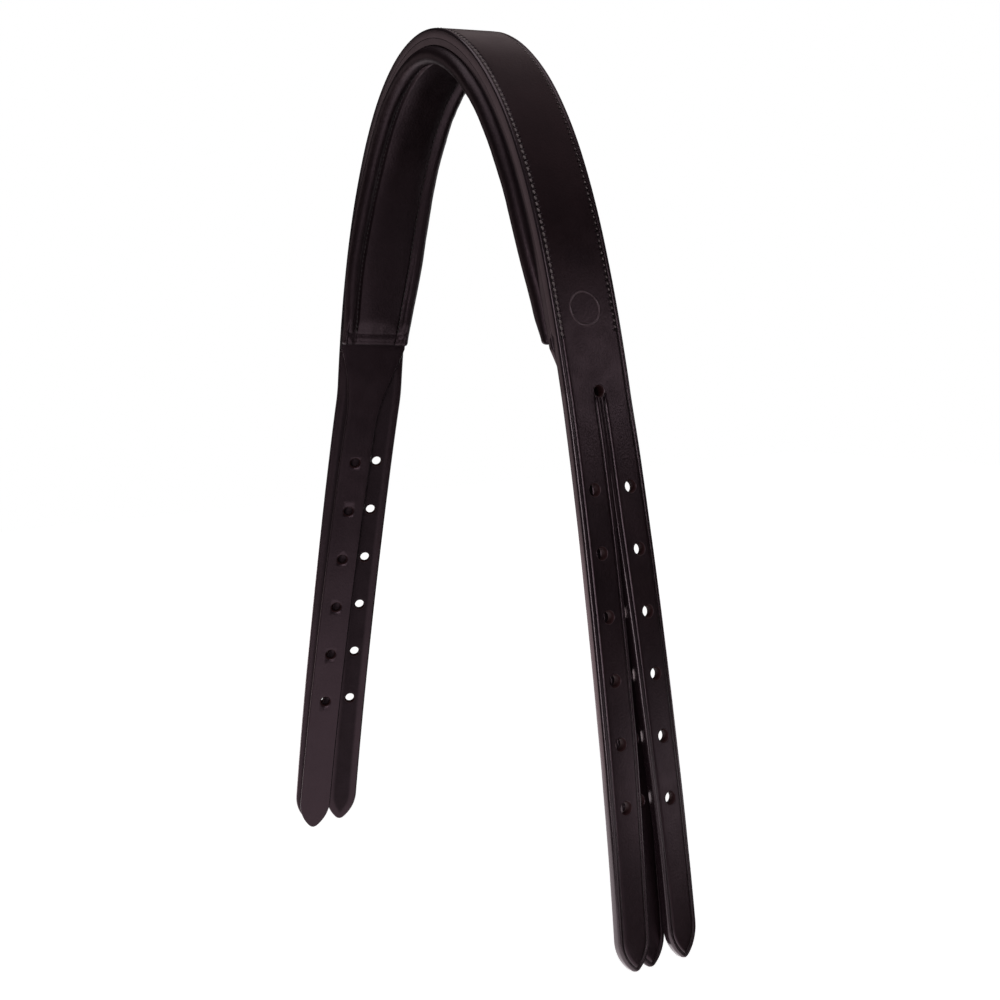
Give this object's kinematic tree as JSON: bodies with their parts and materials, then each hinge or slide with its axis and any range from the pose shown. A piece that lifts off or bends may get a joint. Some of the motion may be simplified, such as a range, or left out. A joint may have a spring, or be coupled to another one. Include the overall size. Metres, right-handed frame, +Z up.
{
  "type": "padded bridle headpiece",
  "caption": "Padded leather bridle headpiece: a crown strap over a poll pad, its ends split into billets with buckle holes, and a noseband strap beneath.",
  "frame": {"origin": "middle of the pad's underside at the top of the arch, where it rests on the horse's poll", "axes": "+Z up, +X towards the horse's near (left) side, -Y towards the horse's face"},
  "size_m": [0.234, 0.0489, 0.3388],
  "materials": {
    "crown_strap_leather": "waxed smooth grain, satin",
    "noseband_strap_leather": "smooth grain, low satin",
    "poll_pad_cover_leather": "soft fine grain, matt",
    "poll_pad_foam": "open foam, matt",
    "near_cheek_billet_leather": "waxed smooth grain, satin",
    "near_throat_billet_leather": "waxed smooth grain, satin",
    "near_noseband_billet_leather": "smooth grain, low satin",
    "off_cheek_billet_leather": "waxed smooth grain, satin",
    "off_throat_billet_leather": "waxed smooth grain, satin",
    "off_noseband_billet_leather": "smooth grain, low satin"
  },
  "bodies": {
    "crown": {"crown_strap": "crown_strap_leather", "noseband_strap": "noseband_strap_leather", "poll_pad_cover": "poll_pad_cover_leather", "poll_pad_foam": "poll_pad_foam"},
    "near_cheek": {"near_cheek_billet": "near_cheek_billet_leather"},
    "near_throat": {"near_throat_billet": "near_throat_billet_leather"},
    "near_noseband": {"near_noseband_billet": "near_noseband_billet_leather"},
    "off_cheek": {"off_cheek_billet": "off_cheek_billet_leather"},
    "off_throat": {"off_throat_billet": "off_throat_billet_leather"},
    "off_noseband": {"off_noseband_billet": "off_noseband_billet_leather"}
  },
  "joints": [
    {"name": "near_cheek_bend", "type": "hinge", "parent": "crown", "child": "near_cheek", "pos_m": [0.08755, -0.0071, -0.12635], "axis": [0, -1, 0], "range_deg": [0, 75], "stiffness_Nm_per_rad": 0.07, "springref_deg": -1.72},
    {"name": "near_throat_bend", "type": "hinge", "parent": "crown", "child": "near_throat", "pos_m": [0.08755, 0.0071, -0.12635], "axis": [0, -1, 0], "range_deg": [0, 75], "stiffness_Nm_per_rad": 0.07, "springref_deg": -1.72},
    {"name": "near_noseband_bend", "type": "hinge", "parent": "crown", "child": "near_noseband", "pos_m": [0.08229, 0, -0.14047], "axis": [0, 1, 0], "range_deg": [0, 25], "stiffness_Nm_per_rad": 0.03, "springref_deg": -3.44},
    {"name": "off_cheek_bend", "type": "hinge", "parent": "crown", "child": "off_cheek", "pos_m": [-0.09019, -0.00657, -0.12585], "axis": [0.3724, 0.9254, -0.0705], "range_deg": [0, 75], "stiffness_Nm_per_rad": 0.07, "springref_deg": -1.72},
    {"name": "off_throat_bend", "type": "hinge", "parent": "crown", "child": "off_throat", "pos_m": [-0.0849, 0.00657, -0.12685], "axis": [0.3724, 0.9254, -0.0705], "range_deg": [0, 75], "stiffness_Nm_per_rad": 0.07, "springref_deg": -1.72},
    {"name": "off_noseband_bend", "type": "hinge", "parent": "crown", "child": "off_noseband", "pos_m": [-0.08424, -0.00611, -0.14013], "axis": [-0.3951, -0.916, 0.0694], "range_deg": [0, 25], "stiffness_Nm_per_rad": 0.03, "springref_deg": -3.44}
  ]
}
